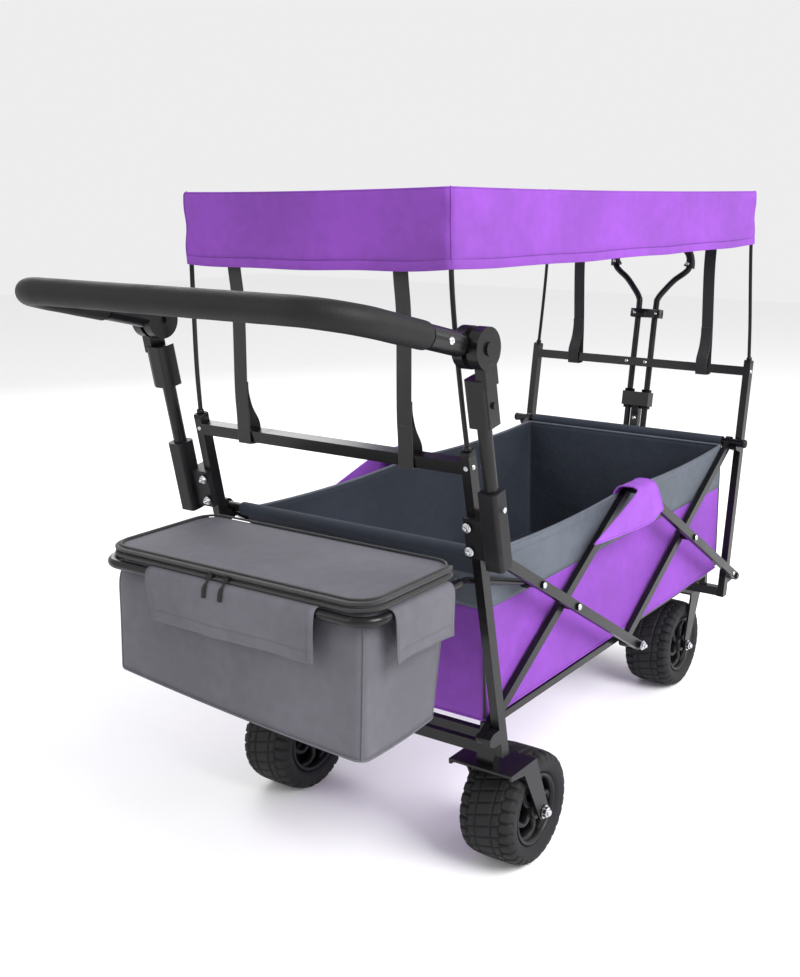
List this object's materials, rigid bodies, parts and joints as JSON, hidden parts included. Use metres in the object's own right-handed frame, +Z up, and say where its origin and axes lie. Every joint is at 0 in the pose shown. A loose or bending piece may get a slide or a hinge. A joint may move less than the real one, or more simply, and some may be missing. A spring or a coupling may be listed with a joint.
{
  "type": "folding pull wagon",
  "caption": "Folding fabric pull wagon with scissor side frames, canopy, rear push bar, telescoping front pull handle, swivel casters and a rear storage bag",
  "frame": {"origin": "on the ground under the middle of the overall box", "axes": "+X towards the pull handle end, +Y to the wagon's left, +Z up"},
  "size_m": [1.4199, 0.63, 1.027],
  "materials": {
    "frame": "gloss black enamel",
    "plastic": "satin black",
    "zinc": "zinc plated",
    "purple": "woven polyester",
    "liner": "woven polyester",
    "bag": "woven polyester",
    "web": "webbing",
    "foam": "soft foam",
    "tyre": "moulded rubber",
    "rim": "moulded black"
  },
  "bodies": {
    "rear_frame": {"rear_post_right": "frame", "rear_post_left": "frame", "rear_crossbar": "frame", "rear_beam": "frame", "rear_rails": "frame", "rear_bracket_right": "frame", "rear_bracket_left": "frame", "sleeve_right": "plastic", "sleeve_left": "plastic", "rod_rear_right": "plastic", "rod_rear_left": "plastic", "strap_rear_right": "web", "strap_rear_left": "web", "canopy": "purple"},
    "tub": {"tub": "liner", "flap_right": "purple", "flap_left": "purple"},
    "wheel_rear_right": {"tyre_rear_right": "tyre", "rim_rear_right": "rim"},
    "wheel_rear_left": {"tyre_rear_left": "tyre", "rim_rear_left": "rim"},
    "bar_b_right": {"bar_b_right": "frame"},
    "bar_b_left": {"bar_b_left": "frame"},
    "bars_a": {"bar_a_right": "frame", "bar_a_left": "frame", "cross_tube_rear": "frame"},
    "bar_d_right": {"bar_d_right": "frame"},
    "bar_d_left": {"bar_d_left": "frame"},
    "bars_c": {"bar_c_right": "frame", "bar_c_left": "frame", "cross_tube_front": "frame"},
    "front_frame": {"front_post_right": "frame", "front_post_left": "frame", "front_crossbar": "frame", "front_beam": "frame", "front_rails": "frame", "rod_front_right": "plastic", "rod_front_left": "plastic", "strap_front_right": "web", "strap_front_left": "web"},
    "caster_right": {"fork_right": "frame"},
    "caster_left": {"fork_left": "frame"},
    "wheel_front_right": {"tyre_front_right": "tyre", "rim_front_right": "rim"},
    "wheel_front_left": {"tyre_front_left": "tyre", "rim_front_left": "rim"},
    "push_tubes": {"push_tube_right": "frame", "push_tube_left": "frame"},
    "push_bar": {"push_bar": "frame", "push_foam": "foam"},
    "snap_right": {"snap_right": "zinc"},
    "snap_left": {"snap_left": "zinc"},
    "pull_arm": {"pull_arm": "plastic"},
    "pull_grip": {"pull_grip": "frame"},
    "basket": {"basket_frame": "frame", "storage_bag": "bag"},
    "bag_lid": {"bag_lid": "bag"}
  },
  "joints": [
    {"name": "fold", "type": "hinge", "parent": "rear_frame", "child": "bar_b_right", "pos_m": [-0.33758, -0.237, 0.245], "axis": [0, -1, 0], "range_deg": [0, 33], "deforming": ["tub", "canopy", "flap_right", "flap_left"]},
    {"name": "cross_rear", "type": "hinge", "parent": "bar_b_right", "child": "bars_a", "pos_m": [-0.10833, -0.263, 0.3855], "axis": [0, -1, 0], "range_deg": [-66.5, 0.5]},
    {"name": "apex_right", "type": "hinge", "parent": "bar_b_right", "child": "bar_d_right", "pos_m": [0.12092, -0.263, 0.526], "axis": [0, -1, 0], "range_deg": [-66.5, 0.5]},
    {"name": "cross_front", "type": "hinge", "parent": "bar_d_right", "child": "bars_c", "pos_m": [0.35017, -0.237, 0.3855], "axis": [0, -1, 0], "range_deg": [-0.5, 66.5]},
    {"name": "front_foot", "type": "hinge", "parent": "bar_d_right", "child": "front_frame", "pos_m": [0.57942, -0.263, 0.245], "axis": [0, -1, 0], "range_deg": [-0.5, 33.5]},
    {"name": "fold_left", "type": "hinge", "parent": "rear_frame", "child": "bar_b_left", "pos_m": [-0.33758, 0.237, 0.245], "axis": [0, -1, 0], "range_deg": [-0.5, 33.5]},
    {"name": "apex_left", "type": "hinge", "parent": "bar_b_left", "child": "bar_d_left", "pos_m": [0.12092, 0.263, 0.526], "axis": [0, -1, 0], "range_deg": [-66.5, 0.5]},
    {"name": "basket_level", "type": "hinge", "parent": "bars_a", "child": "basket", "pos_m": [-0.21908, -0.237, 0.45337], "axis": [0, -1, 0], "range_deg": [-0.5, 33.5]},
    {"name": "tub_level", "type": "hinge", "parent": "bars_a", "child": "tub", "pos_m": [-0.33758, 0, 0.526], "axis": [0, -1, 0], "range_deg": [-0.5, 33.5]},
    {"name": "lid_open", "type": "hinge", "parent": "basket", "child": "bag_lid", "pos_m": [-0.39938, 0, 0.51487], "axis": [0, 1, 0], "range_deg": [0, 75]},
    {"name": "wheel_rear_right_spin", "type": "hinge", "parent": "rear_frame", "child": "wheel_rear_right", "pos_m": [-0.23108, -0.225, 0.09], "axis": [0, 1, 0], "continuous": true},
    {"name": "wheel_rear_left_spin", "type": "hinge", "parent": "rear_frame", "child": "wheel_rear_left", "pos_m": [-0.23108, 0.225, 0.09], "axis": [0, 1, 0], "continuous": true},
    {"name": "caster_right_swivel", "type": "hinge", "parent": "front_frame", "child": "caster_right", "pos_m": [0.56692, -0.128, 0.198], "axis": [0, 0, 1], "continuous": true},
    {"name": "caster_left_swivel", "type": "hinge", "parent": "front_frame", "child": "caster_left", "pos_m": [0.56692, 0.128, 0.198], "axis": [0, 0, 1], "continuous": true},
    {"name": "wheel_front_right_spin", "type": "hinge", "parent": "caster_right", "child": "wheel_front_right", "pos_m": [0.52892, -0.128, 0.09], "axis": [0, 1, 0], "continuous": true},
    {"name": "wheel_front_left_spin", "type": "hinge", "parent": "caster_left", "child": "wheel_front_left", "pos_m": [0.52892, 0.128, 0.09], "axis": [0, 1, 0], "continuous": true},
    {"name": "push_slide", "type": "slide", "parent": "rear_frame", "child": "push_tubes", "axis": [-0.184, 0, 0.9829], "range_m": [-0.06, 0.06]},
    {"name": "push_tilt", "type": "hinge", "parent": "push_tubes", "child": "push_bar", "pos_m": [-0.43668, -0.284, 0.835], "axis": [0, 1, 0], "range_deg": [-60, 75]},
    {"name": "snap_right_pull", "type": "slide", "parent": "rear_frame", "child": "snap_right", "axis": [0, -1, 0], "range_m": [0, 0.003], "stiffness_N_per_m": 800},
    {"name": "snap_left_pull", "type": "slide", "parent": "rear_frame", "child": "snap_left", "axis": [0, 1, 0], "range_m": [0, 0.003], "stiffness_N_per_m": 800},
    {"name": "pull_swing", "type": "hinge", "parent": "front_frame", "child": "pull_arm", "pos_m": [0.56742, 0, 0.21415], "axis": [0, 1, 0], "range_deg": [0, 72]},
    {"name": "pull_extend", "type": "slide", "parent": "pull_arm", "child": "pull_grip", "axis": [0.184, 0, 0.9829], "range_m": [0, 0.2]}
  ],
  "couplings": [
    {"joint": "cross_rear", "follows": "fold", "ratio": -2},
    {"joint": "apex_right", "follows": "fold", "ratio": -2},
    {"joint": "cross_front", "follows": "fold", "ratio": 2},
    {"joint": "front_foot", "follows": "fold", "ratio": 1},
    {"joint": "fold_left", "follows": "fold", "ratio": 1},
    {"joint": "apex_left", "follows": "fold", "ratio": -2},
    {"joint": "basket_level", "follows": "fold", "ratio": 1},
    {"joint": "tub_level", "follows": "fold", "ratio": 1}
  ]
}
